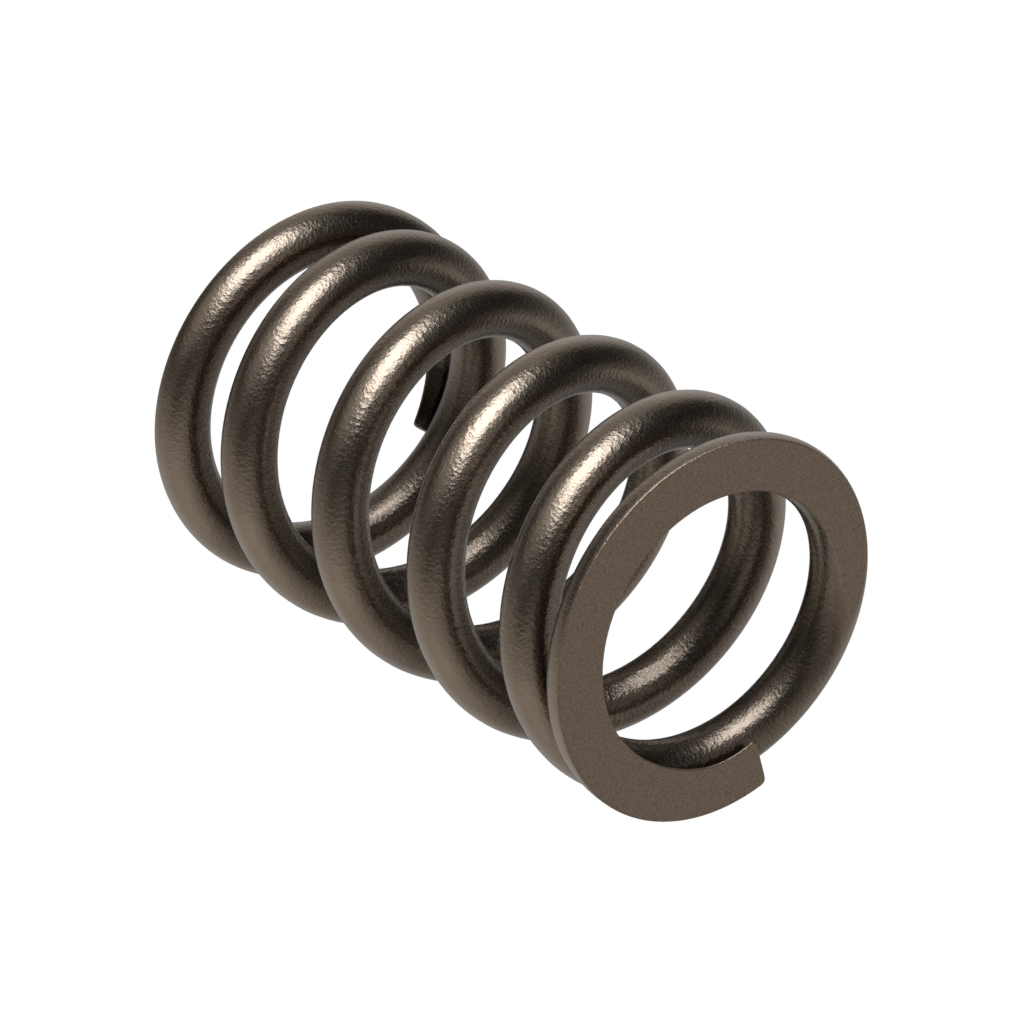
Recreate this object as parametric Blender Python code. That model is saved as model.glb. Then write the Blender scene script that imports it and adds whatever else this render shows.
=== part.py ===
"""Engine valve spring, in metres, +Z up.

One round steel wire is coiled right-handed. Each end coil closes onto its neighbour and is
ground flat. The spring stands on its bottom ground face at z = 0, with the coil axis on Z.
Places along the wire are counted in turns, from the bottom tip.
"""

import math

import bmesh
import bpy
from mathutils import Vector

# Wire and coil. The coil radius is from the axis to the wire's centre.
WIRE_DIAMETER = 0.00457
COIL_RADIUS = 0.0136
FREE_LENGTH = 0.053
TURNS = 5.891

# Where the bottom tip's end face stands around the coil axis, from +X
BOTTOM_TIP_AZIMUTH = math.radians(97.3)

# Closed bottom end. At its seat, a part of a turn in from the tip, the coil lies level and the
# wire's centre is at the seat's height. From there the pitch grows to the active one, at a
# rate set by the closing turns. The coil opens outwards by the spread at the tip, over the
# last part of a turn.
BOTTOM_SEAT = 0.00052
BOTTOM_SEAT_TURNS = 0.379
BOTTOM_CLOSING_TURNS = 0.479
BOTTOM_SPREAD = 0.00093
BOTTOM_SPREAD_TURNS = 0.56

# Closed top end, with the same meanings. Its seat is measured down from the top face.
TOP_SEAT = 0.00037
TOP_SEAT_TURNS = 0.398
TOP_CLOSING_TURNS = 0.476
TOP_SPREAD = 0.00084
TOP_SPREAD_TURNS = 0.326

# The top end coil stands a little off the axis, towards the side this far in from its tip.
# The shift fades out along the wire.
TOP_SHIFT = 0.0003
TOP_SHIFT_TURNS = 0.369
TOP_SHIFT_FADE_TURNS = 1.5

# How a tip lies on the coil next to it: the space left between them, how gradually the two
# meet, and the part of the end turn in which they can
TIP_CLEARANCE = 0.0004
TIP_EASE = 0.0004
TIP_CONTACT_TURNS = 0.9

# Rounding of the rim of each end face
TIP_CORNER_RADIUS = 0.00045

# The shears squashed the top tip wider on the coil's inner side, by this much at its end
# face, fading out over this length of wire.
TOP_TIP_FLARE = 0.0011
TOP_TIP_FLARE_LENGTH = 0.0064

# Fineness of the mesh
SIDES = 16
STEPS_PER_TURN = 44
CORNER_STEPS = 3
TANGENT_REACH = 0.001
CUT_TOLERANCE = 1e-8
SHARP_ANGLE = math.radians(35)

# Finish: dark, shot-peened spring steel
STEEL_COLOUR = (0.35, 0.28, 0.22, 1.0)
STEEL_ROUGHNESS = 0.35
STEEL_METALLIC = 1.0

WIRE_RADIUS = WIRE_DIAMETER / 2


def clear_scene():
    for old in list(bpy.data.objects):
        bpy.data.objects.remove(old, do_unlink=True)


def active_pitch():
    """Pitch of the open coils, worked out from the free length and the closed ends."""
    rise = FREE_LENGTH - BOTTOM_SEAT - TOP_SEAT
    bottom_turns = BOTTOM_SEAT_TURNS + BOTTOM_CLOSING_TURNS
    top_turns = TOP_SEAT_TURNS + TOP_CLOSING_TURNS
    return rise / (TURNS - bottom_turns - top_turns)


def closing(turns_from_seat, closing_turns):
    """What a closed end still takes away from the rise, in turns of the active pitch."""
    return closing_turns * math.exp(-turns_from_seat / closing_turns)


def wound_height(turn):
    """Height of the wire's centre by the pitch alone."""
    bottom = closing(turn - BOTTOM_SEAT_TURNS, BOTTOM_CLOSING_TURNS)
    top = closing(TURNS - TOP_SEAT_TURNS - turn, TOP_CLOSING_TURNS)
    turns_up = turn - BOTTOM_SEAT_TURNS - BOTTOM_CLOSING_TURNS + bottom - top
    return BOTTOM_SEAT + active_pitch() * turns_up


def opening_out(turns_in, tip_spread, spread_turns):
    """How far the coil has opened outwards, this many turns in from a tip."""
    return tip_spread * max(0.0, 1 - turns_in / spread_turns) ** 2


def top_shift(turns_in):
    """How far outwards the shifted top end coil stands, this many turns in from its tip."""
    share = max(0.0, 1 - turns_in / TOP_SHIFT_FADE_TURNS)
    faded = share * share * (3 - 2 * share)
    return TOP_SHIFT * math.cos(2 * math.pi * (turns_in - TOP_SHIFT_TURNS)) * faded


def centre_radius(turn):
    bottom = opening_out(turn, BOTTOM_SPREAD, BOTTOM_SPREAD_TURNS)
    top = opening_out(TURNS - turn, TOP_SPREAD, TOP_SPREAD_TURNS) + top_shift(TURNS - turn)
    return COIL_RADIUS + bottom + top


def smooth_larger(a, b):
    """The larger of two heights, rounded where they cross."""
    return (a + b + math.hypot(a - b, TIP_EASE)) / 2


def centre_height(turn):
    """Height of the wire's centre. A tip is kept outside the coil that it lies on."""
    height = wound_height(turn)
    at_top = turn > TURNS - TIP_CONTACT_TURNS
    at_bottom = turn < TIP_CONTACT_TURNS
    for is_tip, outwards in ((at_top, 1), (at_bottom, -1)):
        if is_tip:
            neighbour = turn - outwards
            offset = centre_radius(turn) - centre_radius(neighbour)
            apart = math.sqrt(max(0.0, (WIRE_DIAMETER + TIP_CLEARANCE) ** 2 - offset ** 2))
            resting = wound_height(neighbour) + outwards * apart
            height = outwards * smooth_larger(outwards * height, outwards * resting)
    return height


def centre(turn):
    azimuth = BOTTOM_TIP_AZIMUTH + 2 * math.pi * turn
    radius = centre_radius(turn)
    return Vector((radius * math.cos(azimuth), radius * math.sin(azimuth), centre_height(turn)))


def top_tip_flare(turn):
    """How much wider the wire is on its inner side, from the squashing of the top tip."""
    length_in = (TURNS - turn) * 2 * math.pi * COIL_RADIUS
    return TOP_TIP_FLARE * max(0.0, 1 - length_in / TOP_TIP_FLARE_LENGTH) ** 2


def rim_stations():
    """Turns in from an end face, and the wire's radius there, along the rounded rim."""
    turn_length = 2 * math.pi * COIL_RADIUS
    rim = []
    for step in range(CORNER_STEPS + 1):
        angle = math.pi / 2 * step / CORNER_STEPS
        inset = TIP_CORNER_RADIUS * (1 - math.cos(angle))
        radius = WIRE_RADIUS - TIP_CORNER_RADIUS * (1 - math.sin(angle))
        rim.append((inset / turn_length, radius))
    return rim


def stations():
    """Turns and wire radii of all the sections, from the bottom tip to the top one."""
    rim = rim_stations()
    start = rim[-1][0]
    span = TURNS - 2 * start
    count = round(TURNS * STEPS_PER_TURN)
    body = [(start + span * step / count, WIRE_RADIUS) for step in range(1, count)]
    top_rim = [(TURNS - turn, radius) for turn, radius in reversed(rim)]
    return rim + body + top_rim


def section(turn, radius):
    """Points of one section, square to the wire: round, but wider inwards at the top tip."""
    middle = centre(turn)
    ahead = (centre(turn + TANGENT_REACH) - centre(turn - TANGENT_REACH)).normalized()
    outwards = Vector((middle.x, middle.y, 0)).normalized()
    outwards = (outwards - ahead * outwards.dot(ahead)).normalized()
    across = ahead.cross(outwards)
    widening = 1 + top_tip_flare(turn) / WIRE_RADIUS
    points = []
    for side in range(SIDES):
        angle = 2 * math.pi * side / SIDES
        out = radius * math.cos(angle)
        if out < 0:
            out *= widening
        points.append(middle + outwards * out + across * radius * math.sin(angle))
    return points


def coil_wire(bm):
    """Skin the wire from tip to tip and close its two end faces."""
    rings = []
    for turn, radius in stations():
        rings.append([bm.verts.new(point) for point in section(turn, radius)])
    for ring, following in zip(rings, rings[1:]):
        for side in range(SIDES):
            after = (side + 1) % SIDES
            bm.faces.new((ring[side], ring[after], following[after], following[side]))
    bm.faces.new(list(reversed(rings[0])))
    bm.faces.new(rings[-1])


def grind(bm, height, outwards):
    """Cut away what lies beyond a level plane and close the flat that is left."""
    cut = bmesh.ops.bisect_plane(
        bm,
        geom=bm.verts[:] + bm.edges[:] + bm.faces[:],
        dist=CUT_TOLERANCE,
        plane_co=(0, 0, height),
        plane_no=(0, 0, outwards),
        clear_outer=True,
    )
    outline = [item for item in cut["geom_cut"] if isinstance(item, bmesh.types.BMEdge)]
    flat = bmesh.ops.edgeloop_fill(bm, edges=outline)["faces"]
    bmesh.ops.triangulate(bm, faces=flat)


def steel():
    material = bpy.data.materials.new("shot_peened_steel")
    material.use_nodes = True
    shader = material.node_tree.nodes["Principled BSDF"]
    shader.inputs["Base Color"].default_value = STEEL_COLOUR
    shader.inputs["Roughness"].default_value = STEEL_ROUGHNESS
    shader.inputs["Metallic"].default_value = STEEL_METALLIC
    return material


def valve_spring():
    bm = bmesh.new()
    coil_wire(bm)
    grind(bm, 0.0, outwards=-1)
    grind(bm, FREE_LENGTH, outwards=1)
    bmesh.ops.recalc_face_normals(bm, faces=bm.faces[:])
    mesh = bpy.data.meshes.new("valve_spring")
    bm.to_mesh(mesh)
    bm.free()
    mesh.shade_smooth()
    mesh.set_sharp_from_angle(angle=SHARP_ANGLE)
    mesh.materials.append(steel())
    spring = bpy.data.objects.new("valve_spring", mesh)
    bpy.context.scene.collection.objects.link(spring)


clear_scene()
valve_spring()
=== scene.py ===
"""Looks of the engine valve spring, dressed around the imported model, in metres, +Z up."""

import math

import bmesh
import bpy
from mathutils import Matrix, Vector


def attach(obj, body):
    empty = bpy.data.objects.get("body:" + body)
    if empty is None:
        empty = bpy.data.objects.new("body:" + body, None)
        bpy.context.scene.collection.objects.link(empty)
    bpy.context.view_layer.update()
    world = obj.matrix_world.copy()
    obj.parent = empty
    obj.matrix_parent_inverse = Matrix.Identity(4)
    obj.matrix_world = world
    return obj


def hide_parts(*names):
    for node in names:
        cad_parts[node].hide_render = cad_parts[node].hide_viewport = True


# The spring's form, with the same sizes as the part
WIRE_RADIUS = 0.00457 / 2
COIL_RADIUS = 0.0136
FREE_LENGTH = 0.053
TURNS = 5.891
BOTTOM_TIP_AZIMUTH = math.radians(97.3)
BOTTOM_SEAT = 0.00052
BOTTOM_SEAT_TURNS = 0.379
BOTTOM_CLOSING_TURNS = 0.479
BOTTOM_SPREAD = 0.00093
BOTTOM_SPREAD_TURNS = 0.56
TOP_SEAT = 0.00037
TOP_SEAT_TURNS = 0.398
TOP_CLOSING_TURNS = 0.476
TOP_SPREAD = 0.00084
TOP_SPREAD_TURNS = 0.326
TOP_SHIFT = 0.0003
TOP_SHIFT_TURNS = 0.369
TOP_SHIFT_FADE_TURNS = 1.5
TIP_CLEARANCE = 0.0004
TIP_EASE = 0.0004
TIP_CONTACT_TURNS = 0.9
TIP_CORNER_RADIUS = 0.00045
TOP_TIP_FLARE = 0.0011
TOP_TIP_FLARE_LENGTH = 0.0064

# The broken edges round the ground flats, which the part leaves sharp
EDGE_BREAK = 0.00012

# Fineness of the mesh: steps across half a flat, round its edge, down a side of the wire,
# round the rim of an end face, and along a turn. Where the wire isn't ground, a section
# keeps the points of the flat as a strip that spans the angle to either side.
FLAT_STEPS = 4
EDGE_STEPS = 4
SIDE_STEPS = 15
CORNER_STEPS = 5
STEPS_PER_TURN = 120
STRIP_ANGLE = math.radians(9)

# Turns ahead and behind between which the wire's direction is taken
TANGENT_REACH = 0.001
MERGE_DISTANCE = 1e-7

# Relief of the steel: shot dents, with smaller ones of this share among them, soft swells
# and grit. The rim of a dent of size 1 stands at about this height over its middle.
DENT_SIZE = 0.00033
SMALL_DENT = 0.55
RIM_HEIGHT = 0.5
SWELLS = {"size": 0.0006, "detail": 1.0, "roughness": 0.5}
GRIT = {"size": 0.00012, "detail": 2.0, "roughness": 0.6}

# Uneven looks of the steel: wide blotches and fine speckle. The spreads are the values of
# these noises that turn into the darkest and the lightest spots, and into the smoothest and
# the roughest ones.
BLOTCHES = {"size": 0.004, "detail": 3.0, "roughness": 0.55}
SPECKLE = {"size": 0.00012, "detail": 1.0, "roughness": 0.5}
BLOTCH_SHARE = 0.5
COLOUR_SPREAD = (0.35, 0.65)
ROUGHNESS_SPREAD = (0.3, 0.7)
ROUGHNESS_SWING = 0.04

# Looks of the peened wire and of its ground faces. The colours are those of the darkest and
# of the lightest spots. The depths are those of the relief.
PEENED = {
    "dark": (0.166, 0.130, 0.098, 1),
    "light": (0.209, 0.163, 0.122, 1),
    "roughness": 0.3,
    "dent_depth": 0.000009,
    "swell_depth": 0.000018,
    "grit_depth": 0.000002,
}
GROUND = {
    "dark": (0.176, 0.130, 0.097, 1),
    "light": (0.258, 0.192, 0.142, 1),
    "roughness": 0.5,
    "dent_depth": 0.000016,
    "swell_depth": 0.000018,
    "grit_depth": 0.000010,
}

# Depths below an end plane between which the ground look fades into the peened one
GROUND_DEPTHS = (0.00003, 0.0003)

# The wire is painted darker towards the inside of the coil and on its faces turned to the
# neighbouring coils. This is painted shade where the coils shade each other, and with it the
# darker tone of the inner side. Between these distances from the axis it goes from the share
# of the colour to the whole of it.
SHADE_INSIDE_RADII = (0.0119, 0.0156)
SHADE_INSIDE_SHARE = 0.64

# Painted shade: a nearly black spot on the inner side of the bottom tip. Given are its middle,
# the distances from there between which it fades out, and the share of the colour that it
# leaves
TIP_SHADE_MIDDLE = (-0.0047, 0.0117, 0.0006)
TIP_SHADE_DISTANCES = (0.0020, 0.0032)
TIP_SHADE_SHARE = 0.3

# Light of the studio room. Each patch of it lies in a direction given along the picture's
# right and up and the way back to the camera. It grows from nothing where the cosine of the
# angle to that direction is the start, to its light where the cosine is full. The curtain
# takes light away.
ROOM_LIGHT = 0.02
DARKEST = 0.02
PATCHES = {
    "table": {"way": (-0.719, -0.673, -0.174), "start": 0.36, "full": 1.56, "light": 1.583},
    "sweep": {"way": (0.177, 0.065, -0.982), "start": -0.14, "full": 0.89, "light": 0.505},
    "ceiling": {"way": (0.061, 0.875, -0.481), "start": 0.71, "full": 0.91, "light": 0.431},
    "side_wall": {"way": (0.964, 0.265, -0.014), "start": 0.37, "full": 1.04, "light": 2.240},
    "upper_left": {"way": (-0.485, 0.642, 0.594), "start": 0.59, "full": 1.79, "light": 3.040},
    "near_table": {"way": (0.010, -0.904, 0.427), "start": 0.55, "full": 1.75, "light": 2.420},
    "curtain": {"way": (0.923, 0.379, -0.061), "start": 0.47, "full": 1.03, "light": -2.500},
}

# The soft box above the front: its direction, distance, size, watts and colour
KEY_WAY = (0.082, 0.674, 0.722)
KEY_DISTANCE = 0.6
KEY_SIZE = (0.424, 0.492)
KEY_POWER = 6.23
KEY_COLOUR = (0.84, 0.907, 1.0)

# View of the photograph, fitted to the spring's outline: angles in radians, the offset of
# the spring's middle in pixels, and the coil radius in pixels and as a share of the distance
PICTURE_WIDTH = 1024
VIEW_TILT = 0.7985
VIEW_ROLL = 0.5374
VIEW_OFFSET = (-2.2699, -8.1011)
PIXELS_PER_COIL_RADIUS = 171.1994
COIL_RADIUS_PER_DISTANCE = 0.02036
SENSOR_WIDTH = 36.0
VIEW_RANGE = (0.01, 20.0)

FLOOR_WIDTH = 6.0
WHITE = (1, 1, 1, 1)
SPRING_MIDDLE = Vector((0, 0, FREE_LENGTH / 2))


def active_pitch():
    rise = FREE_LENGTH - BOTTOM_SEAT - TOP_SEAT
    bottom_turns = BOTTOM_SEAT_TURNS + BOTTOM_CLOSING_TURNS
    top_turns = TOP_SEAT_TURNS + TOP_CLOSING_TURNS
    return rise / (TURNS - bottom_turns - top_turns)


def closing(turns_from_seat, closing_turns):
    return closing_turns * math.exp(-turns_from_seat / closing_turns)


def wound_height(turn):
    bottom = closing(turn - BOTTOM_SEAT_TURNS, BOTTOM_CLOSING_TURNS)
    top = closing(TURNS - TOP_SEAT_TURNS - turn, TOP_CLOSING_TURNS)
    turns_up = turn - BOTTOM_SEAT_TURNS - BOTTOM_CLOSING_TURNS + bottom - top
    return BOTTOM_SEAT + active_pitch() * turns_up


def opening_out(turns_in, tip_spread, spread_turns):
    return tip_spread * max(0.0, 1 - turns_in / spread_turns) ** 2


def top_shift(turns_in):
    share = max(0.0, 1 - turns_in / TOP_SHIFT_FADE_TURNS)
    faded = share * share * (3 - 2 * share)
    return TOP_SHIFT * math.cos(2 * math.pi * (turns_in - TOP_SHIFT_TURNS)) * faded


def centre_radius(turn):
    bottom = opening_out(turn, BOTTOM_SPREAD, BOTTOM_SPREAD_TURNS)
    top = opening_out(TURNS - turn, TOP_SPREAD, TOP_SPREAD_TURNS) + top_shift(TURNS - turn)
    return COIL_RADIUS + bottom + top


def smooth_larger(a, b):
    return (a + b + math.hypot(a - b, TIP_EASE)) / 2


def centre_height(turn):
    height = wound_height(turn)
    at_top = turn > TURNS - TIP_CONTACT_TURNS
    at_bottom = turn < TIP_CONTACT_TURNS
    for is_tip, outwards in ((at_top, 1), (at_bottom, -1)):
        if is_tip:
            neighbour = turn - outwards
            offset = centre_radius(turn) - centre_radius(neighbour)
            reach = 2 * WIRE_RADIUS + TIP_CLEARANCE
            apart = math.sqrt(max(0.0, reach ** 2 - offset ** 2))
            resting = wound_height(neighbour) + outwards * apart
            height = outwards * smooth_larger(outwards * height, outwards * resting)
    return height


def centre(turn):
    azimuth = BOTTOM_TIP_AZIMUTH + 2 * math.pi * turn
    radius = centre_radius(turn)
    return Vector((radius * math.cos(azimuth), radius * math.sin(azimuth), centre_height(turn)))


def top_tip_flare(turn):
    length_in = (TURNS - turn) * 2 * math.pi * COIL_RADIUS
    return TOP_TIP_FLARE * max(0.0, 1 - length_in / TOP_TIP_FLARE_LENGTH) ** 2


def rounded_inset(distance, radius):
    """How far a surface has drawn in at this distance from an edge rounded by the radius."""
    if distance >= radius:
        return 0.0
    return radius - math.sqrt(radius ** 2 - (radius - distance) ** 2)


def rim_distances():
    """Distances from an end face at which its rounded rim has a section."""
    distances = []
    for radius in (EDGE_BREAK, TIP_CORNER_RADIUS):
        for step in range(CORNER_STEPS + 1):
            distances.append(radius * (1 - math.cos(math.pi / 2 * step / CORNER_STEPS)))
    return sorted(set(distances))


def stations():
    """Turns along the wire, each with its distance from the nearer end face."""
    turn_length = 2 * math.pi * COIL_RADIUS
    rim = [(distance / turn_length, distance) for distance in rim_distances()]
    start = rim[-1][0]
    span = TURNS - 2 * start
    count = round(TURNS * STEPS_PER_TURN)
    body = [(start + span * step / count, TIP_CORNER_RADIUS) for step in range(1, count)]
    return rim + body + [(TURNS - turn, distance) for turn, distance in reversed(rim)]


def flat_side(radius, depth):
    """Half outline of a section on the side that may be ground, from its middle outwards.

    Each point is given towards the ground plane and across it. The plane lies at the depth
    from the wire's centre. The half angle that the strip of points spans comes with them.
    """
    edge = EDGE_BREAK
    cut = (depth - edge) / (radius - edge)
    angle = math.acos(max(-1.0, min(1.0, cut)))
    strip = max(angle, STRIP_ANGLE)
    half_width = (radius - edge) * math.sin(strip)
    points = []
    for step in range(FLAT_STEPS):
        across = half_width * math.sin(math.pi / 2 * step / FLAT_STEPS)
        points.append((min(depth, math.sqrt(radius ** 2 - across ** 2)), across))
    for step in range(EDGE_STEPS + 1):
        turn = strip * step / EDGE_STEPS
        across = half_width + edge * math.sin(turn)
        if angle >= STRIP_ANGLE:
            towards = depth - edge * (1 - math.cos(turn))
        else:
            towards = min(depth, math.sqrt(radius ** 2 - across ** 2))
        points.append((towards, across))
    return points, strip


def section(turn, end_distance):
    """Points of one section, square to the wire, ground where it reaches past an end plane.

    The outline runs over the coil's outer side first, and then over its inner side, which is
    wider at the squashed top tip.
    """
    middle = centre(turn)
    ahead = (centre(turn + TANGENT_REACH) - centre(turn - TANGENT_REACH)).normalized()
    upwards = (Vector((0, 0, 1)) - ahead * ahead.z).normalized()
    across = ahead.cross(upwards)
    radius = WIRE_RADIUS - rounded_inset(end_distance, TIP_CORNER_RADIUS)
    edge_inset = rounded_inset(end_distance, EDGE_BREAK)
    top_depth = (FREE_LENGTH - middle.z) / upwards.z
    bottom_depth = middle.z / upwards.z
    top, top_strip = flat_side(radius, min(radius, top_depth) - edge_inset)
    bottom, bottom_strip = flat_side(radius, min(radius, bottom_depth) - edge_inset)
    half = list(top)
    for step in range(1, SIDE_STEPS):
        angle = top_strip + (math.pi - top_strip - bottom_strip) * step / SIDE_STEPS
        half.append((radius * math.cos(angle), radius * math.sin(angle)))
    half += [(-up, side) for up, side in reversed(bottom)]
    widening = 1 + top_tip_flare(turn) / WIRE_RADIUS
    outline = half + [(up, -side * widening) for up, side in reversed(half[1:-1])]
    return [middle + upwards * up + across * side for up, side in outline]


def spring_mesh():
    """Skin the wire from tip to tip and close its two end faces."""
    bm = bmesh.new()
    rings = []
    for turn, end_distance in stations():
        rings.append([bm.verts.new(point) for point in section(turn, end_distance)])
    sides = len(rings[0])
    for ring, following in zip(rings, rings[1:]):
        for side in range(sides):
            after = (side + 1) % sides
            bm.faces.new((ring[side], ring[after], following[after], following[side]))
    bm.faces.new(list(reversed(rings[0])))
    bm.faces.new(rings[-1])
    bmesh.ops.remove_doubles(bm, verts=bm.verts[:], dist=MERGE_DISTANCE)
    bmesh.ops.recalc_face_normals(bm, faces=bm.faces[:])
    mesh = bpy.data.meshes.new("spring_wire")
    bm.to_mesh(mesh)
    bm.free()
    mesh.shade_smooth()
    return mesh


def new_material(name):
    material = bpy.data.materials.new(name)
    material.use_nodes = True
    return material, material.node_tree


def maths(tree, operation, first, second):
    """A maths node. Each input is a number or the socket that feeds it."""
    node = tree.nodes.new("ShaderNodeMath")
    node.operation = operation
    for place, value in enumerate((first, second)):
        if isinstance(value, (int, float)):
            node.inputs[place].default_value = value
        else:
            tree.links.new(value, node.inputs[place])
    return node.outputs["Value"]


def ramp(tree, value, start, end, low, high):
    """A smooth step of a value, from low at the start to high at the end."""
    node = tree.nodes.new("ShaderNodeMapRange")
    node.interpolation_type = "SMOOTHSTEP"
    node.inputs["From Min"].default_value = start
    node.inputs["From Max"].default_value = end
    node.inputs["To Min"].default_value = low
    node.inputs["To Max"].default_value = high
    tree.links.new(value, node.inputs["Value"])
    return node.outputs["Result"]


def noise(tree, coordinates, size, detail, roughness):
    """A noise whose spots are about this size, in metres."""
    node = tree.nodes.new("ShaderNodeTexNoise")
    node.inputs["Scale"].default_value = 1 / size
    node.inputs["Detail"].default_value = detail
    node.inputs["Roughness"].default_value = roughness
    tree.links.new(coordinates, node.inputs["Vector"])
    return node.outputs["Fac"]


def dents(tree, coordinates, size, depth):
    """Height of a surface covered in shot dents of about this size and depth."""
    cells = tree.nodes.new("ShaderNodeTexVoronoi")
    cells.feature = "F1"
    cells.inputs["Scale"].default_value = 1 / size
    tree.links.new(coordinates, cells.inputs["Vector"])
    squared = maths(tree, "MULTIPLY", cells.outputs["Distance"], cells.outputs["Distance"])
    return maths(tree, "MULTIPLY", squared, depth / RIM_HEIGHT)


def mixed(tree, share, first, second):
    """A colour between two, which are colours or the sockets that feed them."""
    node = tree.nodes.new("ShaderNodeMix")
    node.data_type = "RGBA"
    for place, value in (("A", first), ("B", second)):
        if isinstance(value, tuple):
            node.inputs[place].default_value = value
        else:
            tree.links.new(value, node.inputs[place])
    tree.links.new(share, node.inputs["Factor"])
    return node.outputs["Result"]


def ground_share(tree, place):
    """One on the ground end faces, and zero on the peened wire away from them."""
    split = tree.nodes.new("ShaderNodeSeparateXYZ")
    tree.links.new(place, split.inputs["Vector"])
    below_top = maths(tree, "SUBTRACT", FREE_LENGTH, split.outputs["Z"])
    depth = maths(tree, "MINIMUM", split.outputs["Z"], below_top)
    return ramp(tree, depth, *GROUND_DEPTHS, 1.0, 0.0)


def scaled(tree, colour, share):
    """The share of a colour."""
    node = tree.nodes.new("ShaderNodeVectorMath")
    node.operation = "SCALE"
    tree.links.new(colour, node.inputs[0])
    tree.links.new(share, node.inputs["Scale"])
    return node.outputs["Vector"]


def painted_tip_shade(tree, place, colour):
    """The colour, darkened by painted shade on the inner side of the bottom tip."""
    distance = tree.nodes.new("ShaderNodeVectorMath")
    distance.operation = "DISTANCE"
    distance.inputs[1].default_value = TIP_SHADE_MIDDLE
    tree.links.new(place, distance.inputs[0])
    share = ramp(tree, distance.outputs["Value"], *TIP_SHADE_DISTANCES, TIP_SHADE_SHARE, 1.0)
    return scaled(tree, colour, share)


def painted_shade_inside(tree, place, colour):
    """The colour, darkened by painted shade towards the inside of the coil and between coils,
    which also stands for the inner side's darker tone.
    """
    level = tree.nodes.new("ShaderNodeVectorMath")
    level.operation = "MULTIPLY"
    level.inputs[1].default_value = (1, 1, 0)
    tree.links.new(place, level.inputs[0])
    from_axis = tree.nodes.new("ShaderNodeVectorMath")
    from_axis.operation = "LENGTH"
    tree.links.new(level.outputs["Vector"], from_axis.inputs[0])
    share = ramp(tree, from_axis.outputs["Value"], *SHADE_INSIDE_RADII, SHADE_INSIDE_SHARE, 1.0)
    return scaled(tree, colour, share)


def relief_height(tree, place, ground):
    """Height of the steel's dents, swells and grit, as deep as the finish there has them."""
    large = dents(tree, place, DENT_SIZE, 1.0)
    small = dents(tree, place, DENT_SIZE * SMALL_DENT, SMALL_DENT)
    reliefs = {
        "dent_depth": maths(tree, "ADD", large, small),
        "swell_depth": noise(tree, place, **SWELLS),
        "grit_depth": noise(tree, place, **GRIT),
    }
    height = 0.0
    for name, relief in reliefs.items():
        depth = ramp(tree, ground, 0.0, 1.0, PEENED[name], GROUND[name])
        height = maths(tree, "ADD", maths(tree, "MULTIPLY", relief, depth), height)
    return height


def steel_colour(tree, place, ground, speckle):
    """Colour of the steel: blotched on the peened wire, finely speckled all over, and darkened
    by painted shade inside the coil, between the coils and on the bottom tip.
    """
    blotches = maths(tree, "MULTIPLY", noise(tree, place, **BLOTCHES), BLOTCH_SHARE)
    fine = maths(tree, "MULTIPLY", speckle, 1 - BLOTCH_SHARE)
    spots = ramp(tree, maths(tree, "ADD", blotches, fine), *COLOUR_SPREAD, 0.0, 1.0)
    peened = mixed(tree, spots, PEENED["dark"], PEENED["light"])
    # Painted shade: the peened colour is darkened inside the coil, between the coils and on the
    # inner side of the bottom tip.
    peened = painted_tip_shade(tree, place, painted_shade_inside(tree, place, peened))
    grain = ramp(tree, speckle, *COLOUR_SPREAD, 0.0, 1.0)
    return mixed(tree, ground, peened, mixed(tree, grain, GROUND["dark"], GROUND["light"]))


def steel_roughness(tree, ground, speckle):
    """Roughness of the steel: uneven in fine spots, and higher on the ground faces."""
    middle = PEENED["roughness"]
    lowest, highest = middle - ROUGHNESS_SWING, middle + ROUGHNESS_SWING
    uneven = ramp(tree, speckle, *ROUGHNESS_SPREAD, lowest, highest)
    added = maths(tree, "MULTIPLY", ground, GROUND["roughness"] - middle)
    return maths(tree, "ADD", uneven, added)


def steel():
    """Spring steel, shot peened, with ground end faces."""
    material, tree = new_material("spring_steel")
    shader = tree.nodes["Principled BSDF"]
    shader.inputs["Metallic"].default_value = 1.0
    place = tree.nodes.new("ShaderNodeTexCoord").outputs["Object"]
    ground = ground_share(tree, place)
    speckle = noise(tree, place, **SPECKLE)
    bump = tree.nodes.new("ShaderNodeBump")
    bump.inputs["Strength"].default_value = 1.0
    bump.inputs["Distance"].default_value = 1.0
    tree.links.new(relief_height(tree, place, ground), bump.inputs["Height"])
    tree.links.new(bump.outputs["Normal"], shader.inputs["Normal"])
    tree.links.new(steel_colour(tree, place, ground, speckle), shader.inputs["Base Color"])
    tree.links.new(steel_roughness(tree, ground, speckle), shader.inputs["Roughness"])
    return material


def add_spring():
    mesh = spring_mesh()
    mesh.materials.append(steel())
    spring = bpy.data.objects.new("spring_wire", mesh)
    bpy.context.scene.collection.objects.link(spring)
    weighted = spring.modifiers.new("weighted", "WEIGHTED_NORMAL")
    weighted.keep_sharp = False
    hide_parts("valve_spring")
    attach(spring, "root")


def view_axes():
    """The picture's right and up, and the way back from the spring to the camera."""
    right = Vector((
        -math.sin(VIEW_ROLL),
        math.cos(VIEW_TILT) * math.cos(VIEW_ROLL),
        math.sin(VIEW_TILT) * math.cos(VIEW_ROLL),
    ))
    back = Vector((0, -math.sin(VIEW_TILT), math.cos(VIEW_TILT)))
    return right, back.cross(right), back


def view_way(way):
    """A direction that is given along the picture's right and up and the way back."""
    right, up, back = view_axes()
    return (right * way[0] + up * way[1] + back * way[2]).normalized()


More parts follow.
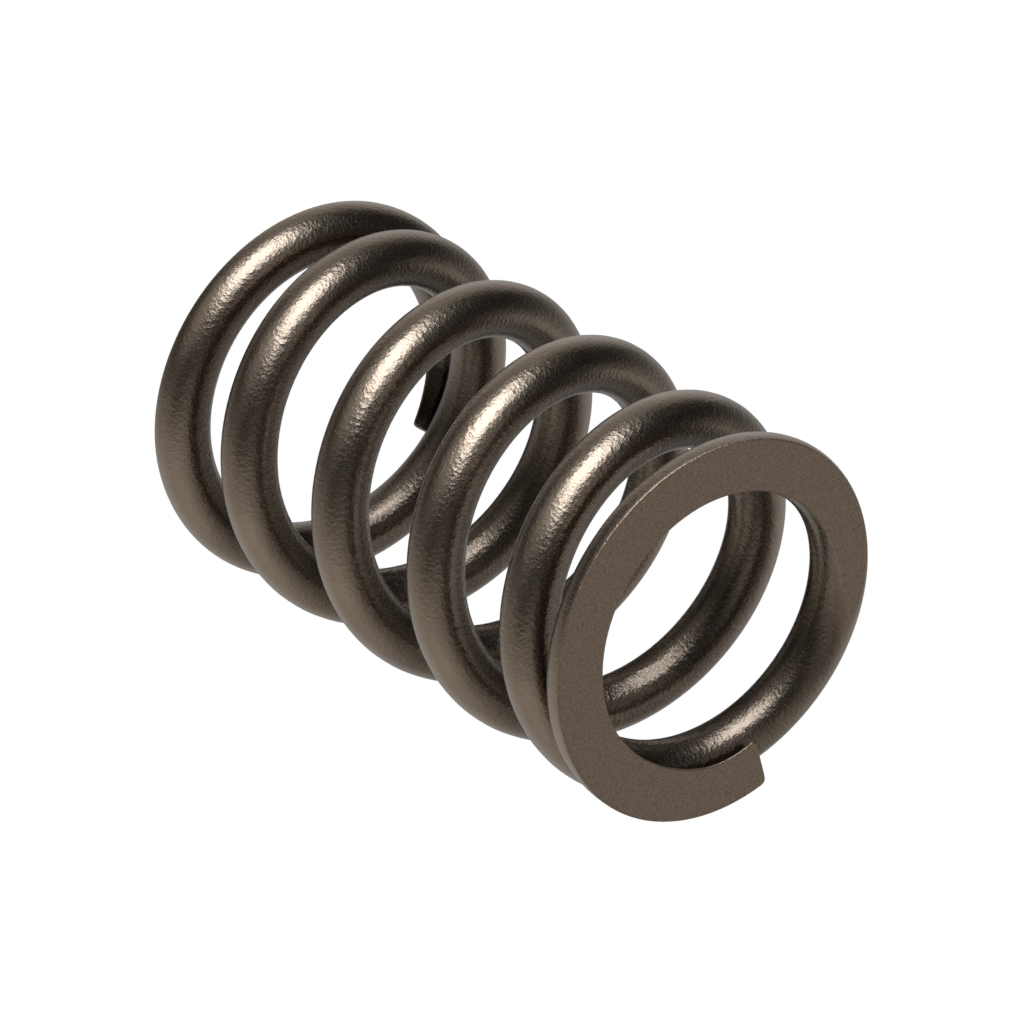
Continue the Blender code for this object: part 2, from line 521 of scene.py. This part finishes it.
def add_camera():
    right, up, back = view_axes()
    scale = COIL_RADIUS / PIXELS_PER_COIL_RADIUS
    distance = COIL_RADIUS / COIL_RADIUS_PER_DISTANCE
    place = SPRING_MIDDLE - right * VIEW_OFFSET[0] * scale + up * VIEW_OFFSET[1] * scale
    place += back * distance
    lens = bpy.data.cameras.new("camera")
    lens.sensor_width = SENSOR_WIDTH
    focal_pixels = distance / scale
    lens.lens = focal_pixels * SENSOR_WIDTH / PICTURE_WIDTH
    lens.clip_start, lens.clip_end = VIEW_RANGE
    camera = bpy.data.objects.new("camera", lens)
    turned = Matrix((right, up, back)).transposed()
    camera.matrix_world = Matrix.Translation(place) @ turned.to_4x4()
    bpy.context.scene.collection.objects.link(camera)
    bpy.context.scene.camera = camera


def add_key_light():
    """The soft box, looking at the spring."""
    way = view_way(KEY_WAY)
    lamp = bpy.data.lights.new("key", "AREA")
    lamp.shape = "RECTANGLE"
    lamp.size, lamp.size_y = KEY_SIZE
    lamp.energy = KEY_POWER
    lamp.color = KEY_COLOUR
    box = bpy.data.objects.new("key", lamp)
    box.location = SPRING_MIDDLE + way * KEY_DISTANCE
    box.rotation_mode = "QUATERNION"
    box.rotation_quaternion = way.to_track_quat("Z", "Y")
    bpy.context.scene.collection.objects.link(box)


def add_floor():
    """A plain white floor that gives its own even light, so that it shows no shadow."""
    mesh = bpy.data.meshes.new("floor")
    half = FLOOR_WIDTH / 2
    corners = [(-half, -half, 0), (half, -half, 0), (half, half, 0), (-half, half, 0)]
    mesh.from_pydata(corners, [], [(0, 1, 2, 3)])
    material, tree = new_material("pale_floor")
    glow = tree.nodes.new("ShaderNodeEmission")
    glow.inputs["Color"].default_value = WHITE
    glow.inputs["Strength"].default_value = 1.0
    tree.links.new(glow.outputs["Emission"], tree.nodes["Material Output"].inputs["Surface"])
    mesh.materials.append(material)
    floor = bpy.data.objects.new("floor", mesh)
    floor.visible_glossy = False
    bpy.context.scene.collection.objects.link(floor)


def patch(tree, direction, way, start, full, light):
    """Light that grows from nothing to its full value towards one way of the view."""
    node = tree.nodes.new("ShaderNodeVectorMath")
    node.operation = "DOT_PRODUCT"
    node.inputs[1].default_value = view_way(way)
    tree.links.new(direction, node.inputs[0])
    return ramp(tree, node.outputs["Value"], start, full, 0.0, light)


def add_world():
    """The light of the studio room. The camera sees it as white."""
    world = bpy.data.worlds.new("studio")
    world.use_nodes = True
    tree = world.node_tree
    direction = tree.nodes.new("ShaderNodeTexCoord").outputs["Generated"]
    light = ROOM_LIGHT
    for form in PATCHES.values():
        light = maths(tree, "ADD", patch(tree, direction, **form), light)
    light = maths(tree, "MAXIMUM", light, DARKEST)
    seen = tree.nodes.new("ShaderNodeLightPath").outputs["Is Camera Ray"]
    background = tree.nodes["Background"]
    background.inputs["Color"].default_value = WHITE
    tree.links.new(maths(tree, "MAXIMUM", light, seen), background.inputs["Strength"])
    bpy.context.scene.world = world


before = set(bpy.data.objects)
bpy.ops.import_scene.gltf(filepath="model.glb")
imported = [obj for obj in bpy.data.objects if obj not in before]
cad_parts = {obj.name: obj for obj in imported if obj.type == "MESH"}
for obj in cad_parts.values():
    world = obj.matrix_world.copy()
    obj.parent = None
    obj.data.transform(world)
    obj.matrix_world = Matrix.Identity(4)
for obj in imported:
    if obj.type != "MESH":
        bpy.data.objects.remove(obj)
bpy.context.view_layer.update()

add_camera()
add_spring()
add_floor()
add_world()
add_key_light()
bpy.context.scene.view_settings.view_transform = "Standard"
